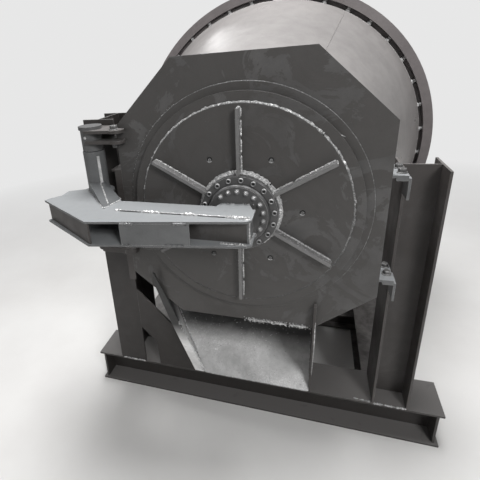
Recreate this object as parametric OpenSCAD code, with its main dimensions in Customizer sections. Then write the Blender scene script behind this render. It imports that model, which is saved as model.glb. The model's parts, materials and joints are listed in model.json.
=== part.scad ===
/* Ball mill: a drum of two cones with a ring round the middle, turning in bearing rings on
   two eight-cornered end plates that hang between columns. The front is closed by a ribbed
   round cover, which a swing arm on a hinge post carries by its hub bearing.
   Origin: floor level, under the middle of the front base beam. X right, Y back, Z up. mm. */

/* [General] */
// Height of the drum axis above the floor
axis_height = 1168; // [1160:2:1240]
// Distance between the outer faces of the two end plates
plate_spacing = 2430; // [2380:10:2600]

/* [Base frame] */
// Height of the wide-flange beams lying on the floor
beam_height = 190; // [180:1:194]
// Flange width of the beams lying on the floor
beam_width = 200; // [190:2:204]
// Flange thickness of the beams
beam_flange = 10; // [8:1:14]
// Web thickness of the beams
beam_web = 7; // [6:1:12]
// Length of the front and rear beams beyond the columns
beam_overhang = 144; // [118:2:188]
// Height of the low cross beam under the drum ring
cross_height = 100; // [80:2:120]
// Width of a column seen from the front
column_width = 148; // [140:2:152]
// Flange thickness of the columns
column_flange = 9; // [8:1:12]
// Room between the end plate and the columns, bridged by the brackets
column_gap = 50; // [48:1:58]
// Height of the top of the left column above the drum axis
left_column_rise = 341; // [334:1:380]
// Height of the top of the other columns above the drum axis
column_rise = 128; // [126:2:200]

/* [End plates] */
// Half width of the eight-cornered end plate
plate_half_width = 514; // [506:1:518]
// Height of the plate above the drum axis
plate_top = 568; // [550:2:600]
// Depth of the plate below the drum axis
plate_bottom = 540; // [530:2:550]
// Half length of the top edge
top_edge = 255; // [230:1:280]
// Half length of the bottom edge
bottom_edge = 288; // [270:1:300]
// Height of the upper side corners above the drum axis
corner_up = 321; // [300:1:340]
// Depth of the lower side corners below the drum axis
corner_down = 354; // [346:1:370]
// Thickness of the end plates
plate_thickness = 12; // [10:1:14]
// Distance of the plate front ahead of the beam's front edge
plate_ahead = 80; // [76:1:84]
// Width of the thin seat ring on the front plate
seat_ring_width = 44; // [36:1:54]
// Thickness of the seat ring
seat_ring_proud = 6; // [4:1:8]

/* [Drum] */
// Outer radius of the drum neck that turns in the bearing rings
neck_radius = 420; // [410:1:425]
// Wall thickness of the neck
neck_wall = 18; // [14:1:24]
// Outer radius of the drum at its middle
drum_radius = 826; // [780:2:830]
// Wall thickness of the cones and the middle band
drum_wall = 8; // [6:1:12]
// Room between the drum and the rim of the ring round it
ring_room = 26; // [22:1:34]
// Thickness of the rim of the ring, outwards
ring_rim = 48; // [40:1:54]
// Width of the ring along the drum
ring_width = 110; // [90:5:120]
// Thickness of the flange that joins the rim to the drum
ring_flange = 14; // [10:1:20]
// Number of slots between the bolts of the ring
ring_slots = 38; // [30:1:42]
// Length of a slot in the ring's flange
slot_length = 84; // [60:2:90]
// Width of a slot in the ring's flange
slot_width = 9; // [6:1:12]

/* [Cover] */
// Reach of the cover's flange ring beyond the drum neck
cover_reach = 21; // [16:1:30]
// Width of the flange ring left free round the raised cover disc
cover_rim = 41; // [32:1:48]
// Thickness of the cover flange ring
cover_ring_thickness = 19; // [14:1:22]
// Thickness of the raised cover disc
cover_thickness = 11; // [8:1:14]
// Width of a radial rib, its edge seen from the front
rib_width = 12; // [10:1:16]
// Height of a radial rib off the disc
rib_height = 36; // [30:1:40]
// Distance of the ribs' outer ends from the edge of the disc
rib_end = 14; // [12:1:30]
// Radius of the hub flange
hub_radius = 146; // [140:1:155]
// Distance of the hub flange face in front of the disc
hub_proud = 42; // [40:1:46]
// Radius of the circle of plugs
plug_circle = 228; // [220:1:236]
// Radius of a plug
plug_radius = 11; // [8:1:13]

/* [Swing arm] */
// Height of the arm box
arm_height = 98; // [92:2:104]
// Thickness of the arm plates
arm_plate = 8; // [6:1:10]
// Radius of the bearing cover at the end of the arm
bearing_radius = 112; // [106:1:116]
// Thickness of the bearing cover
bearing_thickness = 15; // [12:1:18]
// Radius of the stub shaft that carries the cover
shaft_radius = 45; // [35:1:55]
// Distance of the hinge axis inwards from the left column's centre
hinge_inset = 6; // [2:1:10]
// Height above the drum axis of the joint between sleeve and post
sleeve_rise = 225; // [215:1:232]
// Depth below the drum axis of the sleeve's lower end
sleeve_drop = 200; // [190:1:210]
// Outer radius of the hinge sleeve
sleeve_radius = 46; // [44:1:54]
// Radius of the hinge pin
pin_radius = 25; // [20:1:30]

/* [Hidden] */

// Sides of the circles: big rings and small round parts
big = 96;
small = 48;
// Radial room of a pin or shaft in its bore
run = 0.06;
// Room between pieces that pass each other
clear = 6;
// Room between pieces that lie side by side
seat = 0.3;

beam_top = beam_height;
front_edge = -beam_width / 2;
plate_y = front_edge - plate_ahead;
mid_y = plate_y + plate_spacing / 2;
rear_beam_y = 2 * mid_y;
plate_back = plate_y + plate_thickness;
column_inner = plate_half_width + column_gap;
column_offset = column_inner + column_width / 2;
beam_reach = column_offset + column_width / 2 + beam_overhang;

// Cover stack, from the end plate forwards
cover_ring_radius = neck_radius + cover_reach;
cover_radius = cover_ring_radius - cover_rim;
rib_reach = cover_radius - rib_end;
seat_y = plate_y - seat_ring_proud;
cover_back = seat_y - clear;
cover_step = cover_back - cover_ring_thickness;
cover_face = cover_step - cover_thickness;
hub_face = cover_face - hub_proud;
bearing_back = hub_face - clear;
bearing_face = bearing_back - bearing_thickness;

// Bearing rings and drum lengths
bore_radius = neck_radius + run;
open_radius = neck_radius + clear;
seat_ring_radius = open_radius + seat_ring_width;
bearing_depth = 60;
neck_front = seat_y + 2;
neck_back = plate_back + bearing_depth + 30;
ring_inner = drum_radius + ring_room;
ring_outer = ring_inner + ring_rim;
band_half = ring_width / 2 + 10;
cross_back = 880;
cross_y = plate_y + cross_back;
neck_inner = neck_radius - neck_wall;
cone_lap = 8;

// Hinge and arm heights
hinge_x = column_offset - hinge_inset;
arm_top = axis_height + arm_height / 2;
arm_bottom = axis_height - arm_height / 2;
sleeve_top = axis_height + sleeve_rise;
sleeve_bottom = axis_height - sleeve_drop;
post_bottom = sleeve_top + 4;
post_radius = sleeve_radius - 2.5;
cap_radius = sleeve_radius + 3;
lug_plate = 12;
lug_top = axis_height + 316;
lug_low = axis_height + 274;
lug_bottom = sleeve_bottom - clear;
lug_block = 24;
cap_top = axis_height + 330;
lug_front = 56;
lug_end_x = -plate_half_width + 16;
lug_end_y = -30;
lug_end = 34;

left_bracket_rise = 140;
left_bracket_drop = 264;
left_bracket_plate = 136;
bracket_rise = 136;
bracket_drop = 275;
right_wall_top = 416;
brace_plate = 10;
// Outline of the brace, from the foot of the left column's inner face
brace_outline = [[0, 462], [0, 230], [76, 152], [86, 0], [280, 0], [219, 232]];
gusset_height = 44;
plug_recess = 4;

// Chute: lip on the beam's front edge, floor rising backwards
sheet = 8;
lip_z = beam_top;
lip_y = front_edge;
floor_rise = 255;
floor_run = 340;
lip_left = 324 - column_inner;
lip_right = 288;
wall_proud = 44;
floor_splay = 290;
floor_back_left = [lip_left - floor_splay, lip_y + floor_run, lip_z + floor_rise];
wall_head = [153 - column_inner, plate_back + seat, axis_height - 436];
wall_back_share = 0.35;
// Flat bar up the front of the left wall, from the beam to a point in front of the plate, placed
// from the left column's inner face
bar_left = 283;
bar_right = 331;
bar_top = 644;
bar_outline = [[bar_right, 0], [bar_left, 0], [201, 333], [157, 564], [156, bar_top], [163, bar_top],
    [198, 517]];
bar_under_plate = 478;
bar_lean = (lip_y - plate_y + seat + 1.1 * sheet) / (bar_under_plate + 10);
// The floor stops at the inner face of the left wall
wall_foot = [lip_left, lip_y + sheet / 2, lip_z];
wall_across = unit(cross(floor_back_left - wall_foot, wall_head - wall_foot));
floor_shift = [(sheet * (1 + wall_across[1] / 2) + 2 * seat) / wall_across[0], 0, 0];

// Corner points of the arm plates in plan: right end, tab to the bearing cover, back edge,
// round the hinge, tail, and the slanted front
arm_outline = concat(
    [[59, plate_y - 264], [75, plate_y - 246], [74, plate_y - 156], [62, plate_y - 151],
    [45, bearing_face], [-61, bearing_face], [-71, plate_y - 138], [-462, plate_y - 126]],
    [for (a = [-20 : 20 : 160]) [-hinge_x + 66 * cos(a), plate_y + 66 * sin(a)]],
    [[-hinge_x - 72, plate_y - 6], [-hinge_x - 137, plate_y - 36],
    [-hinge_x - 134, plate_y - 96], [-hinge_x - 168, plate_y - 136],
    [-hinge_x - 176, plate_y - 159], [-502, plate_y - 345]]);
front_corner = [-502, plate_y - 345];
tail_corner = [-hinge_x - 172, plate_y - 150];
web_bend = [-425, plate_y - 232];
arm_web_end = 58;
web_slot = 9;
// Spans of the slots over the inner web, from its bend
web_slots = [[8, 91], [174, 250], [314, 405]];

module along_y(y0, y1, r, sides = big) {
    translate([0, y0, axis_height])
        rotate([-90, 0, 0])
            cylinder(h = y1 - y0, r = r, $fn = sides);
}

module ring_y(y0, y1, ro, ri, sides = big) {
    difference() {
        along_y(y0, y1, ro, sides);
        along_y(y0 - 1, y1 + 1, ri, sides);
    }
}

// Wide-flange section with its web upright, lying along X
module beam_x(x0, x1, y, z0, h, w) {
    for (z = [z0, z0 + h - beam_flange])
        translate([x0, y - w / 2, z])
            cube([x1 - x0, w, beam_flange]);
    translate([x0, y - beam_web / 2, z0 + beam_flange / 2])
        cube([x1 - x0, beam_web, h - beam_flange]);
}

// The same section lying along Y
module beam_y(x, y0, y1) {
    for (z = [0, beam_height - beam_flange])
        translate([x - beam_width / 2, y0, z])
            cube([beam_width, y1 - y0, beam_flange]);
    translate([x - beam_web / 2, y0, beam_flange / 2])
        cube([beam_web, y1 - y0, beam_height - beam_flange]);
}

// Column with its flanges facing front and back
module column_plain(x, y, top) {
    for (s = [0, beam_width - column_flange])
        translate([x - column_width / 2, y + s, beam_top])
            cube([column_width, column_flange, top - beam_top]);
    translate([x - beam_web / 2, y + column_flange / 2, beam_top])
        cube([beam_web, beam_width - column_flange, top - beam_top]);
}

// Column with its flanges running in depth
module column_side(x, y, top) {
    for (s = [0, column_width - column_flange])
        translate([x - column_width / 2 + s, y, beam_top])
            cube([column_flange, beam_width, top - beam_top]);
    translate([x - column_width / 2 + column_flange / 2, y + beam_width / 2 - beam_web / 2, beam_top])
        cube([column_width - column_flange, beam_web, top - beam_top]);
}

// Outline of an end plate, X right and Y up from the drum axis
module plate_outline() {
    polygon([
        [-top_edge, plate_top], [top_edge, plate_top],
        [plate_half_width, corner_up], [plate_half_width, -corner_down],
        [bottom_edge, -plate_bottom], [-bottom_edge, -plate_bottom],
        [-plate_half_width, -corner_down], [-plate_half_width, corner_up]]);
}

module end_plate(y) {
    difference() {
        translate([0, y + plate_thickness, axis_height])
            rotate([90, 0, 0])
                linear_extrude(plate_thickness)
                    plate_outline();
        along_y(y - 1, y + plate_thickness + 1, open_radius);
    }
}

module front_base_beam() color("dimgray") {
    beam_x(-beam_reach, beam_reach, 0, 0, beam_height, beam_width);
    for (x = [-beam_reach + 16, beam_reach - 26])
        translate([x, front_edge + 12, beam_flange / 2])
            cube([10, beam_width / 2 - 12, beam_height - beam_flange]);
}

module rear_base_beam() color("dimgray") {
    beam_x(-beam_reach, beam_reach, rear_beam_y, 0, beam_height, beam_width);
}

module left_side_beam() color("dimgray") {
    beam_y(-column_offset, beam_width / 2, rear_beam_y - beam_width / 2);
}

module right_side_beam() color("dimgray") {
    beam_y(column_offset, beam_width / 2, rear_beam_y - beam_width / 2);
}

module cross_beam() color("dimgray") {
    reach = column_offset - beam_web / 2;
    beam_x(-reach, reach, cross_y, beam_flange, cross_height, cross_height);
}

module front_left_column() color("gray") {
    column_plain(-column_offset, front_edge, axis_height + left_column_rise);
}

module front_right_column() color("gray") {
    column_side(column_offset, front_edge, axis_height + column_rise);
}

module rear_left_column() color("gray") {
    column_side(-column_offset, rear_beam_y - beam_width / 2, axis_height + column_rise);
}

module rear_right_column() color("gray") {
    column_side(column_offset, rear_beam_y - beam_width / 2, axis_height + column_rise);
}

// Flat diagonal from the left column down to the front beam
module left_brace() color("gray") {
    translate([0, front_edge + brace_plate, 0])
        rotate([90, 0, 0])
            linear_extrude(brace_plate)
                polygon([for (p = brace_outline) [p[0] - column_inner, p[1] + beam_top]]);
}

module front_end_plate() color("darkslategray") {
    end_plate(plate_y);
}

module seat_ring() color("darkslategray") {
    ring_y(seat_y, plate_y, seat_ring_radius, open_radius);
}

module front_bearing_ring() color("dimgray") {
    ring_y(plate_back, plate_back + bearing_depth, seat_ring_radius, bore_radius);
}

module rear_end_plate() color("darkslategray") {
    end_plate(2 * mid_y - plate_back);
}

module rear_bearing_ring() color("dimgray") {
    ring_y(2 * mid_y - plate_back - bearing_depth, 2 * mid_y - plate_back,
        seat_ring_radius, bore_radius);
}

// Lug plate from the end plate's edge to an angle on the column's front
module right_bracket(z) {
    back = front_edge + 60;
    translate([0, 0, axis_height + z - 10])
        linear_extrude(10)
            polygon([
                [plate_half_width, plate_y], [column_inner, plate_y],
                [column_inner, front_edge + 40], [column_inner - 20, back],
                [plate_half_width, back]]);
    translate([column_inner - 38, plate_y, axis_height + z - 20])
        cube([46, plate_ahead, 10]);
    translate([column_inner, plate_y, axis_height + z - 88])
        cube([8, plate_ahead, 78]);
}

module left_bracket(z) {
    drop = left_bracket_plate;
    inner = -column_inner + 18;
    translate([inner, plate_y, axis_height + z - drop])
        cube([-plate_half_width - seat - inner, 8, drop]);
    translate([-column_inner, plate_y + 8, axis_height + z - 10])
        cube([column_inner - plate_half_width - seat, plate_ahead + 52, 10]);
}

module left_brackets() color("gray") {
    left_bracket(left_bracket_rise);
    left_bracket(-left_bracket_drop);
}

module right_brackets() color("gray") {
    right_bracket(bracket_rise);
    right_bracket(-bracket_drop);
}

module rear_brackets() color("gray") {
    y = 2 * mid_y - plate_y - plate_ahead;
    for (side = [-1, 1])
        for (z = [bracket_rise, -bracket_drop])
            translate([side > 0 ? plate_half_width : -column_inner, y - 60, axis_height + z - 10])
                cube([column_inner - plate_half_width, plate_ahead + 60, 10]);
}

// Sheet through three points of its face, its outline given as points in that plane
function unit(v) = v / norm(v);

module plane_sheet(o, p, q, t, points) {
    u = unit(p - o);
    w = unit(cross(u, q - o));
    v = cross(w, u);
    multmatrix([
        [u[0], v[0], w[0], o[0]],
        [u[1], v[1], w[1], o[1]],
        [u[2], v[2], w[2], o[2]],
        [0, 0, 0, 1]])
        linear_extrude(t)
            polygon([for (a = points) [(a - o) * u, (a - o) * v]]);
}

module chute_right_wall() color("gray") {
    top = axis_height - right_wall_top;
    under = axis_height - plate_bottom - 20;
    translate([lip_right, 0, 0])
        rotate([90, 0, 90])
            linear_extrude(10)
                polygon([
                    [plate_y - 1, top], [plate_y - 30, top], [plate_y - wall_proud, top - 60],
                    [plate_y - wall_proud, top - 190], [lip_y, lip_z + 118], [lip_y, lip_z],
                    [lip_y + floor_run, lip_z + floor_rise],
                    [lip_y + floor_run, lip_z + floor_rise + 90],
                    [plate_back + 30, under], [plate_y - 1, under]]);
}

// Point on the front face of the left wall's bar, from its place across and its height above the beam
function bar_point(p) = [p[0] - column_inner, lip_y - bar_lean * p[1], lip_z + p[1]];

// The left wall leans outwards, splays towards the drum and carries the bar along its front edge
module chute_left_wall() color("gray") {
    back = floor_back_left;
    up = wall_head - wall_foot;
    along = back - wall_foot;
    det = up[1] * along[2] - along[1] * up[2];
    rise = (up * (-bar_lean * along[2] - along[1]) + along * (up[1] + bar_lean * up[2])) / det;
    corner = wall_foot + rise * bar_under_plate;
    inward = up / up[2] - along / along[2];
    notch = corner + inward * (plate_back + seat - corner[1]) / inward[1];
    plane_sheet(wall_foot, back, wall_head, sheet,
        [wall_foot, back, back + up * wall_back_share, wall_head, notch, corner]);
    plane_sheet(bar_point(bar_outline[0]), bar_point(bar_outline[1]), bar_point(bar_outline[3]), sheet,
        [for (p = bar_outline) bar_point(p)]);
}

// Floor sheet, wider at its back where the left wall splays out
module chute_floor() color("lightgray") {
    a = [lip_left, lip_y, lip_z];
    b = [lip_right, lip_y, lip_z];
    c = [lip_right, lip_y + floor_run, lip_z + floor_rise];
    plane_sheet(a, b, c, sheet, [a + floor_shift, b, c, floor_back_left + floor_shift]);
}

// Lug plate from the hinge tube to its rounded end and back to the column's face
module hinge_lug(z, t, r) {
    translate([0, 0, z])
        linear_extrude(t)
            difference() {
                union() {
                    translate([lug_end_x, plate_y + lug_end_y])
                        intersection() {
                            circle(r = lug_end, $fn = small);
                            translate([-lug_end, -lug_end])
                                square([2 * lug_end, lug_end - lug_end_y - 1]);
                        }
                    translate([-hinge_x, plate_y - lug_front])
                        square([lug_end_x + hinge_x, lug_front - 1]);
                    translate([-hinge_x - 20, plate_y - 1])
                        square([hinge_x - plate_half_width - seat + 20, plate_ahead + 1]);
                }
                translate([-hinge_x, plate_y])
                    circle(r = r, $fn = small);
            }
}

module hinge_upper_lugs() color("gray") {
    hinge_lug(lug_top - lug_plate, lug_plate, post_radius + seat);
    hinge_lug(lug_low - lug_plate, lug_plate, post_radius + seat);
}

module hinge_lower_lug() color("gray") {
    hinge_lug(lug_bottom - lug_block, lug_block, pin_radius);
    translate([-hinge_x, plate_y, lug_bottom - lug_block])
        difference() {
            cylinder(h = lug_block, r = sleeve_radius - 2, $fn = small);
            translate([0, 0, -1])
                cylinder(h = lug_block + 2, r = pin_radius, $fn = small);
        }
}

// Fixed tube between the sleeve and the upper lugs
module hinge_post() color("silver") {
    translate([-hinge_x, plate_y, post_bottom])
        difference() {
            cylinder(h = lug_top - post_bottom, r = post_radius, $fn = small);
            translate([0, 0, -1])
                cylinder(h = lug_top - post_bottom + 2, r = pin_radius, $fn = small);
        }
}

// Pin with its flat cap on top
module hinge_pin() color("silver") {
    translate([-hinge_x, plate_y, lug_bottom - lug_block])
        cylinder(h = cap_top - lug_bottom + lug_block, r = pin_radius, $fn = small);
    translate([-hinge_x, plate_y, lug_top])
        cylinder(h = cap_top - lug_top, r = cap_radius, $fn = small);
}

module drum_front_neck() color("lightgray") {
    ring_y(neck_front, neck_back, neck_radius, neck_inner);
}

module drum_rear_neck() color("lightgray") {
    ring_y(2 * mid_y - neck_back, 2 * mid_y - neck_front, neck_radius, neck_inner);
}

// Hollow cone from a neck to the middle band, dir 1 at the front and -1 at the rear
module cone_shell(dir) {
    run_length = mid_y - band_half - neck_back;
    translate([0, mid_y - dir * (mid_y - neck_back), axis_height])
        rotate([-90 * dir, 0, 0])
            rotate_extrude($fn = big)
                polygon([
                    [neck_inner, 0], [neck_radius, 0],
                    [drum_radius, run_length], [drum_radius - drum_wall, run_length],
                    [neck_inner, cone_lap]]);
}

module drum_front_cone() color("lightgray") {
    cone_shell(1);
}

module drum_rear_cone() color("lightgray") {
    cone_shell(-1);
}

module drum_middle_band() color("lightgray") {
    ring_y(mid_y - band_half, mid_y + band_half, drum_radius, drum_radius - drum_wall);
}

// Closing disc in the rear neck
module drum_rear_disc() color("lightgray") {
    back = 2 * mid_y - neck_front;
    along_y(back, back + 12, neck_radius);
}

// Rim and slotted flange of the ring, the flange seated on the drum's middle band
module drum_ring() color("gray") {
    ring_y(mid_y - ring_width / 2, mid_y + ring_width / 2, ring_outer, ring_inner);
    difference() {
        ring_y(mid_y - ring_flange / 2, mid_y + ring_flange / 2, ring_inner + 1, drum_radius);
        for (i = [0 : ring_slots - 1])
            translate([0, mid_y, axis_height])
                rotate([0, (i + 0.5) * 360 / ring_slots, 0])
                    translate([drum_radius + 3, -ring_flange, -slot_length / 2])
                        cube([slot_width, 2 * ring_flange, slot_length]);
    }
}

module cover_ring() color("dimgray") {
    ring_y(cover_step, cover_back, cover_ring_radius, cover_radius - 50);
}

// Raised disc with a shallow seat for each plug
module cover_disc() color("dimgray") {
    difference() {
        ring_y(cover_face, cover_step, cover_radius, shaft_radius + 20);
        for (i = [0 : 5])
            translate([plug_circle * cos(i * 60), cover_face - 1, axis_height + plug_circle * sin(i * 60)])
                rotate([-90, 0, 0])
                    cylinder(h = plug_recess + 1, r = plug_radius, $fn = small);
    }
}

module cover_ribs() color("gray") {
    start = hub_radius + seat;
    for (i = [0 : 5])
        translate([0, cover_face, axis_height])
            rotate([0, i * 60 + 30, 0])
                translate([start, -rib_height, -rib_width / 2])
                    cube([rib_reach - start, rib_height, rib_width]);
}

module hub_flange() color("gray") {
    ring_y(hub_face, cover_face, hub_radius, shaft_radius + run);
    ring_y(cover_face, cover_step, shaft_radius + 20, shaft_radius + run, small);
}

module arm_sheet(z) {
    translate([0, 0, z])
        linear_extrude(arm_plate)
            difference() {
                polygon(arm_outline);
                translate([-hinge_x, plate_y])
                    circle(r = sleeve_radius, $fn = small);
            }
}

// Top plate with the weld slots over the inner web
module arm_top_plate() color("silver") {
    turn = atan2(-10, arm_web_end - web_bend[0]);
    difference() {
        arm_sheet(arm_top - arm_plate);
        for (span = web_slots)
            translate([web_bend[0], web_bend[1] + arm_plate / 2, arm_top - arm_plate - 1])
                rotate([0, 0, turn]) {
                    translate([span[0], -web_slot / 2, 0])
                        cube([span[1] - span[0], web_slot, arm_plate + 2]);
                    for (x = span)
                        translate([x, 0, 0])
                            cylinder(h = arm_plate + 2, r = web_slot / 2, $fn = 24);
                }
    }
}

module arm_bottom_plate() color("silver") {
    arm_sheet(arm_bottom);
}

// Upright sheet between two points in plan, its thickness to the left of the way from a to b
module web(a, b) {
    d = b - a;
    translate([a[0], a[1], arm_bottom + arm_plate])
        rotate([0, 0, atan2(d[1], d[0])])
            cube([norm(d), arm_plate, arm_height - 2 * arm_plate]);
}

// Bent web from the hinge along the middle of the arm
module arm_inner_web() color("silver") {
    a = [-hinge_x + 46, plate_y - 40];
    b = [arm_web_end, plate_y - 242];
    translate([0, 0, arm_bottom + arm_plate])
        linear_extrude(arm_height - 2 * arm_plate)
            polygon([a, web_bend, b, b + [0, arm_plate], web_bend + [3, arm_plate],
                a + [6, arm_plate]]);
}

// Front cover plate, flush between the two openings
module arm_front_plate() color("silver") {
    slope = (80 / 551);
    web([-376, plate_y - 344 + 116 * slope], [-130, plate_y - 344 + 362 * slope]);
}

module arm_end_plate() color("silver") {
    web([arm_web_end + arm_plate, plate_y - 244], [arm_web_end + arm_plate, plate_y - 158]);
}

module arm_tail_web() color("silver") {
    web(tail_corner + [4, 2], front_corner + [6, 3]);
}

// Wedge that braces the sleeve on top of the arm
module sleeve_gusset() color("silver") {
    difference() {
        hull() {
            translate([0, 0, arm_top])
                linear_extrude(2)
                    polygon([
                        [-hinge_x - 34, plate_y - 30], [-493, plate_y - 217],
                        [-472, plate_y - 114], [-hinge_x + 44, plate_y - 8]]);
            translate([0, 0, arm_top])
                linear_extrude(gusset_height)
                    polygon([
                        [-hinge_x - 30, plate_y - 30], [-hinge_x - 14, plate_y - 52],
                        [-hinge_x + 46, plate_y - 30], [-hinge_x + 44, plate_y - 12]]);
        }
        translate([-hinge_x, plate_y, arm_top - 1])
            cylinder(h = gusset_height + 2, r = sleeve_radius + seat, $fn = small);
    }
}

module hinge_sleeve() color("silver") {
    translate([-hinge_x, plate_y, sleeve_bottom])
        difference() {
            cylinder(h = sleeve_top - sleeve_bottom, r = sleeve_radius, $fn = small);
            translate([0, 0, -1])
                cylinder(h = sleeve_top - sleeve_bottom + 2, r = pin_radius + run, $fn = small);
        }
}

// Bearing cover with the stub shaft behind it
module bearing_cover() color("gray") {
    along_y(bearing_face, bearing_back, bearing_radius);
    along_y(bearing_face, cover_step, shaft_radius);
}

front_base_beam();
rear_base_beam();
left_side_beam();
right_side_beam();
cross_beam();
front_left_column();
front_right_column();
rear_left_column();
rear_right_column();
left_brace();
front_end_plate();
seat_ring();
front_bearing_ring();
rear_end_plate();
rear_bearing_ring();
left_brackets();
right_brackets();
rear_brackets();
chute_floor();
chute_left_wall();
chute_right_wall();
hinge_upper_lugs();
hinge_lower_lug();
hinge_post();
hinge_pin();
drum_front_neck();
drum_front_cone();
drum_middle_band();
drum_ring();
drum_rear_cone();
drum_rear_neck();
drum_rear_disc();
cover_ring();
cover_disc();
cover_ribs();
hub_flange();
arm_top_plate();
arm_bottom_plate();
arm_inner_web();
arm_front_plate();
arm_end_plate();
arm_tail_web();
sleeve_gusset();
hinge_sleeve();
bearing_cover();
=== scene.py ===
import json
import math
import random

import bmesh
import bpy
from mathutils import Matrix, Vector


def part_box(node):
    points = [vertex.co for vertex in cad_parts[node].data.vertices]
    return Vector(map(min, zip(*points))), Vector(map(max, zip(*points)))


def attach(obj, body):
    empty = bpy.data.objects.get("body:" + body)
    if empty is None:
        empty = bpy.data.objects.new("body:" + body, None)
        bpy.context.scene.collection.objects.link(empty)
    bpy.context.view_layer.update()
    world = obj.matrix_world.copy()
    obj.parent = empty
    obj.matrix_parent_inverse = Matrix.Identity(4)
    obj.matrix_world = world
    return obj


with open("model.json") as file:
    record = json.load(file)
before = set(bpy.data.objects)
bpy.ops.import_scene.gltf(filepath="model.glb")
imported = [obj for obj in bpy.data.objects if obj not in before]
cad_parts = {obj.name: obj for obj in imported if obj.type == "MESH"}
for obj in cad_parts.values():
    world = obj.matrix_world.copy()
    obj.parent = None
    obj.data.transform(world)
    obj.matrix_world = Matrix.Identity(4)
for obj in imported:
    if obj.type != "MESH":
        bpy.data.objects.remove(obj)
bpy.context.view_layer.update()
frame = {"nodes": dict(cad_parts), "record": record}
scene = bpy.context.scene
rng = random.Random(7)

# Heights, radii and planes across the drum axis, read from the solids, in metres
disc_low, disc_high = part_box("cover_disc")
ring_low, ring_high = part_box("drum_ring")
band_low, band_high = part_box("drum_middle_band")
sleeve_low, sleeve_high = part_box("hinge_sleeve")
floor_low, floor_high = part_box("chute_floor")
AXIS = (ring_low.z + ring_high.z) / 2
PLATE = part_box("front_end_plate")[0].y
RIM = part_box("cover_ring")[0].y
DISC = disc_low.y
DISC_BACK = disc_high.y
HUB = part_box("hub_flange")[0].y
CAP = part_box("bearing_cover")[0].y
BAND = band_high.x
SLEEVE = (sleeve_high.x - sleeve_low.x) / 2
ARM_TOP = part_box("arm_top_plate")[1].z
ARM_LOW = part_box("arm_bottom_plate")[0].z

# Places in millimetres, as spot() takes them
HINGE = (sleeve_low.x + sleeve_high.x) / 2 * 1000
TOP_FACE = (ARM_TOP - AXIS) * 1000
BEAM_FACE = (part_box("front_base_beam")[1].z - AXIS) * 1000

# Sizes in metres and counts that several pieces share
SINK = 0.0005
OVERLAP = 0.0002
SCREWS = 18
RIBS = 6
PLUG_CIRCLE = 0.228
STUDS = 38
STUD_SPAN = (BAND - 0.0022, ring_high.x - 0.048)

# Directions, shapes and the tone of the backdrop
FRONT = Vector((0, -1, 0))
UP = Vector((0, 0, 1))
ANY_TURN = 6.28
PALE = (0.80, 0.80, 0.80, 1.0)
OCTAHEDRON = ([(1, 0, 0), (-1, 0, 0), (0, 1, 0), (0, -1, 0), (0, 0, 1), (0, 0, -1)],
              [(0, 2, 4), (2, 1, 4), (1, 3, 4), (3, 0, 4), (2, 0, 5), (1, 2, 5), (3, 1, 5), (0, 3, 5)])


def camera():
    """The camera solved from the photo: its place, its turn, its lens and the shift of the crop."""
    data = bpy.data.cameras.new("camera")
    data.sensor_fit = "HORIZONTAL"
    data.sensor_width = 36.0
    data.lens = 28.81
    data.shift_x = 0.126
    data.shift_y = -0.0585
    data.clip_start = 0.05
    obj = bpy.data.objects.new("camera", data)
    scene.collection.objects.link(obj)
    place = Matrix.Translation((0.256, -1.591, 1.726))
    yaw = math.radians(20.31)
    pitch = math.radians(-21.66)
    roll = math.radians(-4.8)
    ahead = Vector((-math.sin(yaw) * math.cos(pitch), math.cos(yaw) * math.cos(pitch), math.sin(pitch)))
    aside = Vector((math.cos(yaw), math.sin(yaw), 0))
    upright = aside.cross(ahead)
    right = aside * math.cos(roll) + upright * math.sin(roll)
    up = upright * math.cos(roll) - aside * math.sin(roll)
    obj.matrix_world = place @ Matrix((right, up, -ahead)).transposed().to_4x4()
    scene.camera = obj


# Node helpers


def new_material(name):
    """A material with one plain shader, as the material, its tree and that shader."""
    mat = bpy.data.materials.new(name)
    mat.use_nodes = True
    tree = mat.node_tree
    tree.nodes.clear()
    out = tree.nodes.new("ShaderNodeOutputMaterial")
    shader = tree.nodes.new("ShaderNodeBsdfPrincipled")
    tree.links.new(shader.outputs[0], out.inputs[0])
    return mat, tree, shader


def node(tree, kind, inputs=None, **props):
    """A new node, its inputs linked where a socket is given and set where a value is."""
    n = tree.nodes.new(kind)
    for key, value in props.items():
        setattr(n, key, value)
    for key, value in (inputs or {}).items():
        if isinstance(value, bpy.types.NodeSocket):
            tree.links.new(value, n.inputs[key])
        else:
            n.inputs[key].default_value = value
    return n


def noise(tree, where, scale, detail=4.0, rough=0.6, distort=0.0):
    inputs = {"Vector": where, "Scale": scale, "Detail": detail, "Roughness": rough, "Distortion": distort}
    return node(tree, "ShaderNodeTexNoise", inputs).outputs["Fac"]


def grey(v):
    return (v, v, v)


def ramp(tree, value, stops):
    """Colours between (place, colour) stops."""
    n = node(tree, "ShaderNodeValToRGB", {"Fac": value})
    elements = n.color_ramp.elements
    while len(elements) < len(stops):
        elements.new(0.5)
    for element, (at, colour) in zip(elements, stops):
        element.position = at
        element.color = (*colour, 1.0)
    return n.outputs["Color"]


def mask(tree, value, black, white):
    """Black where the value is at the first number and white where it is at the second."""
    return ramp(tree, value, [(black, grey(0.0)), (white, grey(1.0))])


def mix(tree, fac, a, b, blend="MIX"):
    n = node(tree, "ShaderNodeMix", data_type="RGBA", blend_type=blend)
    for socket, value in ((n.inputs[0], fac), (n.inputs[6], a), (n.inputs[7], b)):
        if isinstance(value, bpy.types.NodeSocket):
            tree.links.new(value, socket)
        else:
            socket.default_value = value if isinstance(value, float) else (*value, 1.0)
    return n.outputs[2]


def calc(tree, op, a, b):
    return node(tree, "ShaderNodeMath", {0: a, 1: b}, operation=op).outputs[0]


def times(tree, a, b):
    return calc(tree, "MULTIPLY", a, b)


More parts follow.
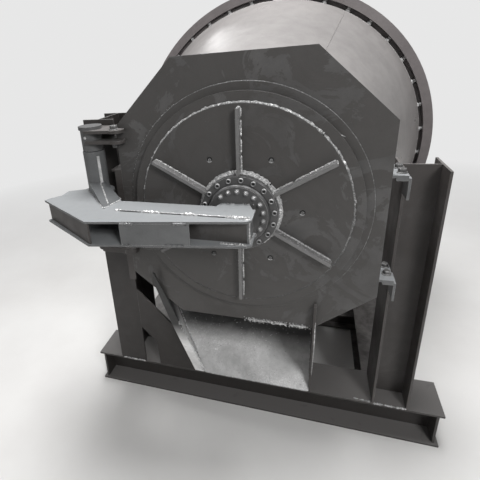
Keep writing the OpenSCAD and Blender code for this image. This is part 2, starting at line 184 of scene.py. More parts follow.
def tint(tree, tone, marks, strength, colour):
    """A colour laid over a tone where the marks are white."""
    return mix(tree, times(tree, marks, strength), tone, colour)


def shade(tree, tone, value, stops):
    """A tone multiplied by greys between (place, grey) stops of a value."""
    return mix(tree, 1.0, tone, ramp(tree, value, [(at, grey(v)) for at, v in stops]), "MULTIPLY")


def part_of(tree, vector, letter):
    return node(tree, "ShaderNodeSeparateXYZ", {0: vector}).outputs[letter]


def corners(tree):
    """Shading normal rounded over sharp corners, and a mask that is white on them."""
    soft = node(tree, "ShaderNodeBevel", {"Radius": 0.0016}, samples=4).outputs[0]
    flat = node(tree, "ShaderNodeNewGeometry").outputs["Normal"]
    same = node(tree, "ShaderNodeVectorMath", {0: soft, 1: flat}, operation="DOT_PRODUCT").outputs["Value"]
    return soft, mask(tree, calc(tree, "SUBTRACT", 1.0, same), 0.004, 0.10)


def spatter_dots(tree, where):
    """Round dots in scattered patches."""
    cells = node(tree, "ShaderNodeTexVoronoi", {"Vector": where, "Scale": 60.0}).outputs["Distance"]
    few = noise(tree, where, 4.5, detail=3.0)
    dots = ramp(tree, cells, [(0.04, grey(1.0)), (0.08, grey(0.0))])
    return times(tree, dots, mask(tree, few, 0.54, 0.64))


def dust_and_top_light_mask(tree, fine, even):
    """White on faces that look up, for dust and painted top light: closed if even, else patchy."""
    up = part_of(tree, node(tree, "ShaderNodeNewGeometry").outputs["Normal"], "Z")
    patches = (0.0, 0.38) if even else (0.28, 0.66)
    return times(tree, mask(tree, up, 0.35, 0.95), mask(tree, fine, *patches))


def specks_glints_and_shade(tree, tone, where, cloud, smear, painted_shade):
    """Dust specks and painted glints, and painted shade deepening upwards between two heights in metres."""
    low, high, least = painted_shade
    edge = calc(tree, "ADD", part_of(tree, where, "Z"), times(tree, cloud, 0.10))
    cell = node(tree, "ShaderNodeTexVoronoi", {"Vector": where, "Scale": 190.0})
    pick = part_of(tree, cell.outputs["Color"], "X")
    specks_and_glints = times(tree, mask(tree, cell.outputs["Distance"], 0.46, 0.30), mask(tree, pick, 0.55, 0.75))
    specks_and_glints = times(tree, specks_and_glints, mask(tree, smear, 0.42, 0.60))
    tone = tint(tree, tone, specks_and_glints, 0.50, grey(0.90))
    return shade(tree, tone, edge, [(low, 1.0), (high, least)])


def gloss(tree, cloud, fine, rough):
    """Roughness that follows the clouds and the fine marks."""
    low, high = rough
    wide = ramp(tree, cloud, [(0.32, grey(high)), (0.68, grey(low))])
    close = ramp(tree, fine, [(0.3, grey(high)), (0.7, grey(low))])
    return mix(tree, 0.5, wide, close)


def relief(tree, spray, dots, fine, grain, soft):
    """Shading normal for the grain, the spatter and the fine marks."""
    height = calc(tree, "ADD", times(tree, spray, 0.5), times(tree, dots, 1.6))
    height = calc(tree, "ADD", height, times(tree, fine, 0.8))
    bump = node(tree, "ShaderNodeBump",
                {"Strength": grain, "Distance": 0.0008, "Height": height, "Normal": soft})
    return bump.outputs[0]


def paint(name, base, rough, grain=0.2, cloud_size=2.0, cloudy=0.30, streaks=0.25, specks=0.3, smudge=0.0,
          edge_wear_and_highlight=0.45, edge_wear_and_highlight_grey=0.30, dust_and_top_light=0.0, dust_and_top_light_colour=(0.30, 0.295, 0.288), even=False, metal=0.0, warm=1.0,
          painted_shade=None):
    """Primer sprayed on steel, or bare steel: clouds, runs, grain, spatter, worn corners, dust, painted
    light.

    The light corners are wear and painted highlights, and the layer on faces that look up is dust and
    painted light from above. rough gives the lowest and highest roughness, edge_wear_and_highlight_grey
    the grey of the corners, dust_and_top_light_colour the colour of that layer, and even says that it lies
    closed. cloudy, streaks, specks, smudge, edge_wear_and_highlight and dust_and_top_light are strengths
    from 0 to 1, and warm above 1 reddens the dark clouds. painted_shade is for ground steel: two heights
    in metres, between which it darkens upwards as painted shade, and how much of its tone is left above
    them.
    """
    mat, tree, shader = new_material(name)
    dark = tuple(v * (1 - cloudy) * w for v, w in zip(base, (warm, 1.0, 2.0 - warm)))
    light = tuple(v * (1 + cloudy) for v in base)
    where = node(tree, "ShaderNodeTexCoord").outputs["Object"]
    upright = node(tree, "ShaderNodeMapping", {"Vector": where, "Scale": (9.0, 9.0, 1.0)}).outputs[0]
    cloud = noise(tree, where, cloud_size, detail=8.0, distort=0.5)
    fine = noise(tree, where, cloud_size * 9.0, detail=6.0, distort=0.3)
    streak = noise(tree, upright, 1.8, detail=5.0, distort=0.2)
    spray = noise(tree, where, 420.0, detail=2.0)
    smear = noise(tree, where, 4.2, detail=7.0, rough=0.66, distort=1.2)
    dots = spatter_dots(tree, where)
    tone = ramp(tree, cloud, [(0.34, dark), (0.50, base), (0.68, light)])
    tone = shade(tree, tone, fine, [(0.32, 0.86), (0.62, 1.0)])
    if smudge:
        tone = tint(tree, tone, mask(tree, smear, 0.50, 0.60), smudge, light)
        tone = tint(tree, tone, mask(tree, smear, 0.47, 0.38), smudge, dark)
    tone = tint(tree, tone, mask(tree, streak, 0.52, 0.74), streaks, dark)
    tone = shade(tree, tone, spray, [(0.35, 0.88), (0.65, 1.0)])
    tone = tint(tree, tone, dots, specks, grey(0.34))
    soft, corner = corners(tree)
    # Worn corners, lightened further as painted highlights along the edges
    wear_and_edge_highlights = times(tree, corner, mask(tree, noise(tree, where, 30.0), 0.30, 0.62))
    tone = tint(tree, tone, wear_and_edge_highlights, edge_wear_and_highlight, grey(edge_wear_and_highlight_grey))
    # Dust, and painted light from above, on faces that look up
    if dust_and_top_light:
        tone = tint(tree, tone, dust_and_top_light_mask(tree, fine, even), dust_and_top_light, dust_and_top_light_colour)
    # Painted shade that deepens upwards, with bright specks of dust and painted glints
    if painted_shade:
        tone = specks_glints_and_shade(tree, tone, where, cloud, smear, painted_shade)
    tree.links.new(tone, shader.inputs["Base Color"])
    tree.links.new(gloss(tree, cloud, fine, rough), shader.inputs["Roughness"])
    tree.links.new(relief(tree, spray, dots, fine, grain, soft), shader.inputs["Normal"])
    shader.inputs["Metallic"].default_value = metal
    return mat


def weld_metal(name, tone, spark, painted_shade=None):
    """Weld bead under thin primer: rippled, uneven and bright on its crests.

    painted_shade is two heights in metres, between which it darkens downwards as painted shade, and the
    share of its tone left below them.
    """
    mat, tree, shader = new_material(name)
    where = node(tree, "ShaderNodeTexCoord").outputs["Object"]
    crests = noise(tree, where, 160.0, rough=0.65)
    slow = noise(tree, where, 24.0, detail=3.0)
    colour = ramp(tree, crests, [(0.36, tuple(v * 0.45 for v in tone)), (0.52, tone), (0.66, spark)])
    colour = tint(tree, colour, mask(tree, slow, 0.48, 0.66), 0.5, tuple(v * 0.6 for v in tone))
    if painted_shade:
        # Painted shade, darker lower down. A ramp ends at 1, so the heights in metres are halved
        low, high, least = painted_shade
        height = times(tree, part_of(tree, where, "Z"), 0.5)
        colour = shade(tree, colour, height, [(low / 2, least), (high / 2, 1.0)])
    tree.links.new(colour, shader.inputs["Base Color"])
    tree.links.new(ramp(tree, crests, [(0.35, grey(0.55)), (0.65, grey(0.25))]), shader.inputs["Roughness"])
    shader.inputs["Metallic"].default_value = 0.25
    bump = node(tree, "ShaderNodeBump", {"Strength": 0.6, "Distance": 0.0012, "Height": crests})
    tree.links.new(bump.outputs[0], shader.inputs["Normal"])
    return mat


# Finishes: the part's five slots, then those of single nodes, then those of small pieces

# Dust, and painted light from above, on the frame's faces that look up
FRAME_DUST_AND_TOP_LIGHT = (0.21, 0.200, 0.195)
SMALL = {"grain": 0.15, "cloud_size": 30.0}
PAINTS = {
    "dark_paint": dict(base=(0.074, 0.072, 0.071), rough=(0.36, 0.54), cloudy=0.36, smudge=0.8, warm=1.04),
    "drum_paint": dict(base=(0.31, 0.295, 0.29), rough=(0.24, 0.38), grain=0.08, cloud_size=1.4, cloudy=0.14,
                       streaks=0.10, specks=0.08, metal=0.25),
    # Dust and painted light from above on faces that look up, and edges lightened as painted highlights
    "arm_paint": dict(base=(0.122, 0.125, 0.127), rough=(0.32, 0.48), grain=0.15, cloud_size=3.0, cloudy=0.12,
                      specks=0.2, edge_wear_and_highlight=0.9, edge_wear_and_highlight_grey=0.55, dust_and_top_light=0.74, dust_and_top_light_colour=(0.284, 0.294, 0.302), even=True),
    "frame_paint": dict(base=(0.055, 0.050, 0.048), rough=(0.36, 0.56), cloudy=0.28, smudge=0.4, dust_and_top_light=0.7,
                        dust_and_top_light_colour=FRAME_DUST_AND_TOP_LIGHT, warm=1.04),
    "worn_steel": dict(base=(0.34, 0.338, 0.335), rough=(0.34, 0.56), grain=0.4, cloud_size=4.0, specks=0.9,
                       dust_and_top_light=0.5),
    "rib_paint": dict(base=(0.16, 0.158, 0.157), rough=(0.34, 0.50), grain=0.25, cloud_size=6.0, cloudy=0.16,
                      edge_wear_and_highlight=0.6),
    "ring_paint": dict(base=(0.15, 0.135, 0.135), rough=(0.34, 0.50), grain=0.15, cloud_size=3.0, cloudy=0.18,
                       metal=0.2),
    # Its light corners are wear and painted highlights on the rim
    "hub_paint": dict(base=(0.070, 0.069, 0.069), rough=(0.34, 0.50), cloud_size=6.0, cloudy=0.2, edge_wear_and_highlight=1.0,
                      edge_wear_and_highlight_grey=0.60),
    "post_paint": dict(base=(0.110, 0.110, 0.111), rough=(0.34, 0.50), cloud_size=5.0, cloudy=0.2, edge_wear_and_highlight=0.8,
                       edge_wear_and_highlight_grey=0.5),
    "wedge_paint": dict(base=(0.108, 0.112, 0.115), rough=(0.32, 0.48), grain=0.15, cloud_size=5.0,
                        cloudy=0.15, edge_wear_and_highlight=0.9, edge_wear_and_highlight_grey=0.5),
    # Frame paint darkened as painted shade, for the arm's shadow on the left column and brace
    "frame_paint_painted_shade": dict(base=(0.027, 0.024, 0.0225), rough=(0.38, 0.58), cloudy=0.28, smudge=0.4, dust_and_top_light=0.7,
                         dust_and_top_light_colour=FRAME_DUST_AND_TOP_LIGHT, warm=1.04),
    # Frame paint darkened as painted shade, with painted light on faces that look up
    "beam_paint_shade_and_top_light": dict(base=(0.034, 0.031, 0.0295), rough=(0.36, 0.56), cloudy=0.20, smudge=0.3, dust_and_top_light=0.70,
                       dust_and_top_light_colour=(0.175, 0.168, 0.164), even=True, warm=1.04),
    # Pale steel that darkens upwards as the painted shadow of the end plate
    "chute_steel_painted_shadow": dict(base=(0.58, 0.578, 0.575), rough=(0.34, 0.52), grain=0.5, cloud_size=4.0, specks=0.9,
                        painted_shade=(0.345, 0.40, 0.13)),
    # Very pale steel as a painted highlight on the bar, darkening upwards as painted shade
    "bar_steel_painted_light": dict(base=(0.74, 0.737, 0.733), rough=(0.30, 0.46), grain=0.3, cloud_size=6.0, specks=0.6,
                      edge_wear_and_highlight=0.9, edge_wear_and_highlight_grey=0.8, painted_shade=(0.44, 0.57, 0.05)),
    "stud_steel": dict(SMALL, base=(0.55, 0.55, 0.55), rough=(0.30, 0.45), edge_wear_and_highlight=0.6, edge_wear_and_highlight_grey=0.8),
    "primed_bolt": dict(SMALL, base=(0.10, 0.099, 0.098), rough=(0.30, 0.45), edge_wear_and_highlight=0.9, edge_wear_and_highlight_grey=0.5),
    # Tops lighter as painted light from above
    "bolt_steel": dict(SMALL, base=(0.25, 0.25, 0.253), rough=(0.26, 0.42), edge_wear_and_highlight=0.7, dust_and_top_light=0.8,
                       dust_and_top_light_colour=grey(0.75), even=True, metal=0.2),
    # Tops lighter as painted highlights from above
    "nut_steel": dict(SMALL, base=(0.12, 0.12, 0.121), rough=(0.22, 0.36), edge_wear_and_highlight=0.5, edge_wear_and_highlight_grey=0.8, dust_and_top_light=0.9,
                      dust_and_top_light_colour=grey(0.62), even=True),
    # Top lighter as the painted highlight of the lit shoulder
    "shoulder_steel": dict(SMALL, base=(0.075, 0.075, 0.076), rough=(0.26, 0.40), edge_wear_and_highlight=0.3, dust_and_top_light=0.8,
                           dust_and_top_light_colour=grey(0.42)),
    # Near black, laid in recesses and gaps as painted shade
    "painted_shade_black": dict(SMALL, base=grey(0.008), rough=(0.45, 0.6), specks=0.0, edge_wear_and_highlight=0.2),
}

# Weld beads
BEADS = {
    "bare_bead": dict(tone=grey(0.42), spark=(0.88, 0.88, 0.87)),
    "bright_bead": dict(tone=grey(0.70), spark=(0.95, 0.95, 0.94)),
    "dull_bead": dict(tone=grey(0.20), spark=grey(0.55)),
    # Darker on its lower half as painted shade
    "rim_bead_painted_shade": dict(tone=grey(0.36), spark=(0.82, 0.82, 0.81), painted_shade=(0.95, 1.42, 0.24)),
    "painted_bead": dict(tone=(0.15, 0.153, 0.155), spark=grey(0.27)),
}

# Nodes whose finish isn't that of their slot, several of them for painted shade or light
OWN_FINISH = {
    # Painted shadow of the end plate on the chute floor
    "chute_floor": "chute_steel_painted_shadow",
    # Painted highlight and painted shade on the left wall's bar
    "chute_left_wall": "bar_steel_painted_light",
    "drum_ring": "ring_paint",
    "hub_flange": "hub_paint",
    "bearing_cover": "hub_paint",
    "cover_ribs": "rib_paint",
    "hinge_pin": "post_paint",
    "hinge_post": "post_paint",
    # Painted light: the brackets take the arm paint's lighter top
    "right_brackets": "arm_paint",
    # Painted shade: the web inside the arm in dark paint
    "arm_inner_web": "dark_paint",
    # Painted shade: the tail web in the darker frame paint
    "arm_tail_web": "frame_paint",
    "sleeve_gusset": "wedge_paint",
    # Painted shade: the left column and brace take the darkened frame paint
    "front_left_column": "frame_paint_painted_shade",
    "left_brace": "frame_paint_painted_shade",
    # Painted shade and painted top light on the front beam
    "front_base_beam": "beam_paint_shade_and_top_light",
}

finish = {name: paint(name, **values) for name, values in PAINTS.items()}
finish.update({name: weld_metal(name, **values) for name, values in BEADS.items()})
for entry in frame["record"]["subparts"]:
    mesh = frame["nodes"][entry["node"]].data
    mesh.materials.clear()
    mesh.materials.append(finish[OWN_FINISH.get(entry["node"], entry["material_slot"])])

# Mesh helpers


def piece(name, verts, faces, coat, body, smooth=True):
    """One visible piece that rides on a body, smooth but for its sharp edges."""
    sharp_angle = 0.6
    mesh = bpy.data.meshes.new(name)
    mesh.from_pydata([tuple(v) for v in verts], [], faces)
    mesh.update()
    bm = bmesh.new()
    bm.from_mesh(mesh)
    bmesh.ops.recalc_face_normals(bm, faces=bm.faces)
    if smooth:
        for f in bm.faces:
            f.smooth = True
        for e in bm.edges:
            if len(e.link_faces) == 2 and e.calc_face_angle(0.0) > sharp_angle:
                e.smooth = False
    bm.to_mesh(mesh)
    bm.free()
    mesh.materials.append(finish[coat])
    obj = bpy.data.objects.new(name, mesh)
    scene.collection.objects.link(obj)
    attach(obj, body)


class Parts:
    """Gathers many small solids into the mesh of one piece."""

    def __init__(self):
        self.verts = []
        self.faces = []

    def add(self, verts, faces, place=Matrix.Identity(4)):
        start = len(self.verts)
        self.verts += [place @ Vector(v) for v in verts]
        self.faces += [tuple(i + start for i in f) for f in faces]

    def turn(self, profile, sides, place):
        """Adds a closed solid turned about Z.

        The profile starts and ends with a height on the axis and has (radius, height) points between.
        """
        foot, *wall, head = profile
        verts = [(0, 0, foot)]
        for r, z in wall:
            verts += [(r * math.cos(2 * math.pi * k / sides), r * math.sin(2 * math.pi * k / sides), z)
                      for k in range(sides)]
        verts.append((0, 0, head))
        loops = [range(1 + i * sides, 1 + (i + 1) * sides) for i in range(len(wall))]
        faces = []
        for k in range(sides):
            j = (k + 1) % sides
            faces.append((0, loops[0][k], loops[0][j]))
            faces += [(a[k], a[j], b[j], b[k]) for a, b in zip(loops, loops[1:])]
            faces.append((loops[-1][k], loops[-1][j], len(verts) - 1))
        self.add(verts, faces, place)

    def done(self, name, coat, body):
        piece(name, self.verts, self.faces, coat, body)


def facing(at, axis, spin=0.0):
    """Places a solid at a point with its Z along an axis."""
    turn = axis.normalized().to_track_quat("Z", "Y").to_matrix().to_4x4()
    return Matrix.Translation(at) @ turn @ Matrix.Rotation(spin, 4, "Z")


def hex_head(parts, at, axis, flats, height, spin, washer=True, end=0.0):
    """Hexagon head with a chamfered top, on a round washer, and the end of its screw."""
    corner = flats / math.sqrt(3)
    base = -SINK
    if washer:
        wide = flats * 0.74
        base = flats * 0.14
        parts.turn([-SINK, (wide, -SINK), (wide, flats * 0.10), (wide * 0.94, base), base], 24,
                   facing(at, axis))
    top = base + height
    parts.turn([base - OVERLAP, (corner * 0.97, base - OVERLAP), (corner, base + height * 0.1),
                (corner, base + height * 0.8), (corner * 0.84, top), top], 6, facing(at, axis, spin))
    if end:
        stem = flats * 0.30
        tip = top + end
        parts.turn([top - OVERLAP, (stem, top - OVERLAP), (stem, top + end * 0.8), (stem * 0.7, tip), tip],
                   12, facing(at, axis))


def socket_head(parts, at, axis, radius, height, spin):
    """Round screw head with a deep socket."""
    bottom = height * 0.08
    parts.turn([-SINK, (radius, -SINK), (radius, height * 0.86), (radius * 0.9, height),
                (radius * 0.72, height), (radius * 0.68, height * 0.94), (radius * 0.67, height * 0.12),
                bottom], 24, facing(at, axis, spin))


def bead(parts, points, radius, step=0.0035, wobble=0.25, closed=False, sides=8):
    """Weld bead along a line of points: overlapping ripples of uneven width, tapered at open ends."""
    narrow = 0.82
    taper = 0.45
    stray = 0.12
    path = []
    line = list(points) + ([points[0]] if closed else [])
    for a, b in zip(line, line[1:]):
        n = max(1, int((b - a).length / step))
        path += [a.lerp(b, k / n) for k in range(n)]
    if not closed:
        path.append(line[-1])
    count = len(path)
    verts = []
    for i, p in enumerate(path):
        before = path[i - 1] if (i or closed) else p
        after = path[(i + 1) % count] if (i + 1 < count or closed) else p
        along = (after - before).normalized()
        side = along.orthogonal().normalized()
        up = along.cross(side)
        width = radius * (narrow + (1 - narrow) * (i % 3) / 2) * (1 + wobble * (rng.random() - 0.5) * 2)
        if not closed and i in (0, count - 1):
            width *= taper
        off = Vector((rng.uniform(-1, 1), rng.uniform(-1, 1), rng.uniform(-1, 1))) * radius * stray
        for k in range(sides):
            a = 2 * math.pi * k / sides
            verts.append(p + off + (side * math.cos(a) + up * math.sin(a)) * width)
    faces = []
    for i in range(count if closed else count - 1):
        a = i * sides
        b = ((i + 1) % count) * sides
        for k in range(sides):
            j = (k + 1) % sides
            faces.append((a + k, a + j, b + j, b + k))
    if not closed:
        faces.append(tuple(reversed(range(sides))))
        faces.append(tuple(range((count - 1) * sides, count * sides)))
    parts.add(verts, faces)


def weld_run(parts, a, b, count, radius, lead, share, wobble=0.25):
    """A weld from a to b in several beads, one in each stretch.

    lead is the gap before each bead, as a share of the whole weld, and share is where in its stretch
    the bead ends.
    """
    for k in range(count):
        bead(parts, [a.lerp(b, k / count + lead), a.lerp(b, (k + share) / count)], radius, wobble=wobble)


def any_turn(axis):
    return Matrix.Rotation(rng.uniform(0, ANY_TURN), 4, axis)


def spatter(parts, at, size):
    """One small drop of weld metal."""
    turn = any_turn("Y") @ any_turn("Z")
    shape = Matrix.Diagonal((size * rng.uniform(0.7, 1.4), size, size * rng.uniform(0.6, 1.0), 1.0))
    parts.add(*OCTAHEDRON, Matrix.Translation(at) @ turn @ shape)


def spatter_field(parts, count, xs, ys, zs, sizes):
    """Drops of weld metal in a box, in millimetres as in spot()."""
    for _ in range(count):
        at = spot(*(v if isinstance(v, (int, float)) else rng.uniform(*v) for v in (xs, ys, zs)))
        spatter(parts, at, rng.uniform(*sizes))


# Places on the machine


def spot(x, y, z):
    """A point given in millimetres from the drum axis at the face of the front plate."""
    return Vector((x / 1000, PLATE + y / 1000, AXIS + z / 1000))


def on_circle(radius, y, degrees):
    """A point on a circle about the drum axis, at an angle from +X towards +Z."""
    a = math.radians(degrees)
    return Vector((radius * math.cos(a), y, AXIS + radius * math.sin(a)))


def outward(degrees):
    """A direction away from the drum axis, at an angle from +X towards +Z."""
    return Vector((math.cos(math.radians(degrees)), 0, math.sin(math.radians(degrees))))


def circle(radius, y, count):
    return [on_circle(radius, y, 360 * k / count) for k in range(count)]


def round_hinge(radius, z, first=0, last=360):
    """Points on a level circle about the hinge axis, in millimetres as in spot()."""
    return [spot(HINGE, 0, z) + level(t) * radius / 1000 for t in range(first, last, 6)]


def level(degrees):
    """A level direction, at an angle from +X towards +Y."""
    return Vector((math.cos(math.radians(degrees)), math.sin(math.radians(degrees)), 0))


def surface(name, start, way):
    """Where a ray meets a solid, or None."""
    hit, at, _, _ = frame["nodes"][name].ray_cast(start, way)
    return at if hit else None


# Pieces on the cover and its bearing


def hub_screws():
    """Socket screws round the hub flange; painted shade in their sockets and in the gap round the bearing
    cover.
    """
    screw_circle = 0.133
    gap_circle = 0.1184
    heads = Parts()
    shade_marks = Parts()
    for k in range(SCREWS):
        at = on_circle(screw_circle, HUB, 360 / SCREWS * k + 5)
        socket_head(heads, at, FRONT, 0.0092, 0.008, 0.3 * k)
        shade_marks.turn([0, (0.0060, 0), (0.0060, 0.0052), (0.0052, 0.0036), 0.0036], 6,
                     facing(at, FRONT, 0.3 * k))
    heads.done("hub_screws", "bolt_steel", "cover")
    # Painted shade: a black ring in the gap round the bearing cover
    gap = circle(gap_circle, HUB - OVERLAP, 160)
    bead(shade_marks, gap, 0.0010, step=0.01, wobble=0.1, closed=True, sides=6)
    shade_marks.done("hub_screw_shade_marks", "painted_shade_black", "cover")


def bearing_cover_bolts():
    """Bolts round the bearing cover, but for the ones that the arm hides."""
    bolt_circle = 0.095
    margin = 0.012
    arm_reach = 0.08
    parts = Parts()
    for k in range(SCREWS):
        at = on_circle(bolt_circle, CAP, 360 / SCREWS * k + 10)
        if at.x < arm_reach and ARM_LOW - margin < at.z < ARM_TOP + margin:
            continue
        hex_head(parts, at, FRONT, 0.0130, 0.0085, 0.4 * k, end=0.005)
    parts.done("bearing_cover_bolts", "nut_steel", "arm")


def disc_plugs():
    """A ring-shaped plug low in each seat of the disc, over black painted shade on the seat's floor."""
    plugs = Parts()
    seat_shade = Parts()
    for k in range(RIBS):
        turn = 360 / RIBS * k
        # Each plug sits 2.4 mm low, so the black floor shows above it as a painted shadow
        low = on_circle(PLUG_CIRCLE, DISC + 0.0042, turn) - UP * 0.0024
        plugs.turn([0, (0.0062, 0), (0.0066, 0.0008), (0.0064, 0.0026), (0.0056, 0.0032), (0.0030, 0.0032),
                    (0.0026, 0.0008), 0.0006], 24, facing(low, FRONT))
        seat_shade.turn([0, (0.0109, 0), (0.0109, 0.0012), (0.0105, 0.0005), 0.0004], 24,
                   facing(on_circle(PLUG_CIRCLE, DISC + 0.0041, turn), FRONT))
    plugs.done("disc_plugs", "primed_bolt", "cover")
    seat_shade.done("plug_seat_shade", "painted_shade_black", "cover")


def rib_welds():
    """Beads along both sides of each rib and round its ends, and spatter on its flanks."""
    foot, end, half, tall = 0.1478, 0.3865, 0.006, 0.033
    parts = Parts()
    centre = Vector((0, DISC - 0.001, AXIS))
    for k in range(RIBS):
        along = outward(360 / RIBS * (k + 0.5))
        across = Vector((-along.z, 0, along.x))
        for side in (-1, 1):
            line = centre + across * side * (half + 0.0012)
            start = foot + 0.0042
            while start < end - 0.0115:
                stop = min(start + rng.uniform(0.045, 0.075), end - 0.0025)
                bead(parts, [line + along * start, line + along * stop], 0.0038)
                start = stop + rng.choice((0.0, 0.0, 0.012))
        outer = centre + along * end
        bead(parts, [outer - across * half, outer + across * half], 0.004)
        bead(parts, [outer + across * 0.001, outer + across * 0.001 + FRONT * tall], 0.0022)
        inner = centre + along * foot + across * half
        bead(parts, [inner + FRONT * 0.002, inner + FRONT * (tall + 0.001)], 0.0024)
        for _ in range(110):
            reach = rng.uniform(0.155, 0.380)
            depth = rng.random() ** 1.5 * tall
            side = rng.choice((-1, 1))
            at = centre + along * reach + across * side * (half + OVERLAP) + FRONT * depth
            spatter(parts, at, rng.uniform(0.0012, 0.0030))
    parts.done("rib_welds", "bare_bead", "cover")


def cover_edge_weld():
    """The weld round the disc's edge, with thicker stretches, darker below as painted shade."""
    edge = 0.4020
    parts = Parts()
    bead(parts, circle(edge, DISC_BACK - 0.0014, 300), 0.0056, step=0.005, wobble=0.4, closed=True)
    for _ in range(40):
        first = rng.uniform(0, 360)
        radius = edge + rng.uniform(-0.0015, 0.0030)
        span = rng.uniform(2, 9)
        stretch = [on_circle(radius, DISC_BACK - 0.0030, first + span * k / 6) for k in range(7)]
        bead(parts, stretch, 0.0046, wobble=0.4)
    parts.done("cover_edge_weld", "rim_bead_painted_shade", "cover")


def hub_foot_weld():
    """Two heavy runs round the foot of the hub."""
    parts = Parts()
    bead(parts, circle(0.1520, DISC - 0.0020, 160), 0.0085, step=0.006, wobble=0.22, closed=True)
    bead(parts, circle(0.1485, DISC - 0.0090, 160), 0.0070, step=0.005, wobble=0.25, closed=True)
    parts.done("hub_foot_weld", "bare_bead", "cover")


def cover_nick():
    """The bright nick on the rim of the cover."""
    parts = Parts()
    places = ((0.441, 40), (0.445, 38.6), (0.449, 38))
    bead(parts, [on_circle(radius, RIM - OVERLAP, degrees) for radius, degrees in places], 0.0011)
    parts.done("cover_nick", "bare_bead", "cover")


def plug_lip_highlights():
    """Bright lower lip of each plug's seat, as a painted highlight."""
    radius = 0.0098
    parts = Parts()
    for k in range(RIBS):
        centre = on_circle(PLUG_CIRCLE, DISC + 0.0004, 360 / RIBS * k)
        lip = [centre + outward(t) * radius for t in range(215, 326, 10)]
        bead(parts, lip, 0.0014, step=0.002, wobble=0.2, sides=6)
    parts.done("plug_lip_highlights", "bare_bead", "cover")


def cover_shoulder():
    """Turned shoulder between the bearing cover's rim and the hub, its top lighter as a painted highlight."""
    parts = Parts()
    parts.turn([0.0008, (0.1160, 0.0008), (0.1160, 0.0018), (0.1125, 0.0098), 0.0098], 96,
               facing(Vector((0, HUB, AXIS)), FRONT))
    parts.done("cover_shoulder", "shoulder_steel", "arm")


# Pieces on the arm and the hinge


def slot_shade():
    """Black beads at the bottoms of the three slots in the arm's top plate, as painted shade."""
    parts = Parts()
    for x0, y0, x1, y1 in ((-415, -229, -337, -230), (-249, -232, -178, -233), (-110, -235, -24, -237)):
        bead(parts, [spot(x0, y0, TOP_FACE - 8), spot(x1, y1, TOP_FACE - 8)], 0.0034, wobble=0.1)
    parts.done("slot_shade", "painted_shade_black", "arm")


def slot_welds(parts):
    """Double beads between the slots and a thin line of weld behind them."""
    for x0, y0, x1, y1 in ((-437, -228, -421, -229), (-331, -230, -255, -232), (-172, -233, -116, -235),
                           (-18, -237, 63, -240)):
        for back, radius in ((0.0, 0.0062), (5.0, 0.0050)):
            start = spot(x0 + rng.uniform(0, 5), y0 + back, TOP_FACE + 1)
            stop = spot(x1 - rng.uniform(0, 5), y1 + back, TOP_FACE + 1)
            bead(parts, [start, stop], radius, wobble=0.45)
    places = ((-437, -221.5), (-255, -225.0), (-116, -228.0), (20, -231.0))
    bead(parts, [spot(x, y, TOP_FACE + 0.2) for x, y in places], 0.0019, wobble=0.5)


def lower_plate_welds(parts):
    """Short rough beads on the bottom plate near its end."""
    for x in range(-34, 54, 9):
        start = spot(x, -250 - rng.uniform(0, 12), -42)
        stop = spot(x + 11, -252 - rng.uniform(0, 12), -42)
        bead(parts, [start, stop], 0.0050, wobble=0.4)


def stitch_welds(parts):
    """Stitches where the front plate, between its two ends, meets the top and bottom plates."""
    (x_a, y_a), (x_b, y_b) = (-502, -345), (49, -265)
    for z, spans in ((41.1, ((-375, -325), (-189, -135))), (-41.1, ((-377, -345), (-222, -150)))):
        for span in spans:
            line = [spot(x, y_a + (x - x_a) * (y_b - y_a) / (x_b - x_a) - 0.4, z) for x in span]
            bead(parts, line, 0.0056, wobble=0.2)


def arm_end_welds(parts):
    """Beads round the end plate, and between the plates and the bearing cover."""
    bead(parts, [spot(66.5, -243, 40), spot(66.5, -243, -40)], 0.0030)
    for z in (40.5, -40.5):
        bead(parts, [spot(67, -158, z), spot(67, -243, z)], 0.0028)
    for x0, x1 in ((-60, -34), (-26, -2), (8, 44)):
        for z in (TOP_FACE + 0.5, -TOP_FACE - 0.5):
            bead(parts, [spot(x0, -87.5, z), spot(x1, -87.5, z)], 0.0030)


def arm_welds():
    """Bare welds of the arm, and the painted stitches along its front."""
    bare = Parts()
    stitches = Parts()
    slot_welds(bare)
    lower_plate_welds(bare)
    spatter_field(bare, 60, (20, 66), (-252, -226), TOP_FACE + 0.4, (0.0015, 0.0040))
    spatter_field(bare, 90, (-70, 60), (-108, -90), TOP_FACE + 0.4, (0.0015, 0.0034))
    stitch_welds(stitches)
    arm_end_welds(bare)
    bare.done("arm_welds", "bare_bead", "arm")
    stitches.done("arm_stitches", "painted_bead", "arm")


def sleeve_welds():
    """Welds round the foot of the wedge and round the sleeve above and below."""
    nose, left, right_foot, right = (-494, -218), (-662, -30), (-471, -113), (-588, -9)
    parts = Parts()
    for a, b in ((nose, left), (right_foot, right), (nose, right_foot)):
        weld_run(parts, spot(*a, TOP_FACE + 0.6), spot(*b, TOP_FACE + 0.6), 3, 0.0034, lead=0.02, share=0.9)
    bead(parts, round_hinge(47, TOP_FACE + 1, -20, 241), 0.0036)
    bead(parts, round_hinge(47, -TOP_FACE - 1), 0.0036, closed=True)
    parts.done("sleeve_welds", "bare_bead", "arm")


def wedge_welds():
    """Ridge and rough edge welds on the wedge in front of the sleeve."""
    steps = 12
    overhead = 400
    parts = Parts()
    for x0, y0, x1, y1, radius in ((-599, -40, -487, -188, 0.0034), (-643, -58, -497, -216, 0.0022)):
        above = [spot(x0 + (x1 - x0) * k / steps, y0 + (y1 - y0) * k / steps, overhead)
                 for k in range(steps + 1)]
        line = [surface("sleeve_gusset", p, -UP) for p in above]
        line = [p for p in line if p]
        if len(line) > 1:
            bead(parts, line, radius, wobble=0.3)
    parts.done("wedge_welds", "bare_bead", "arm")


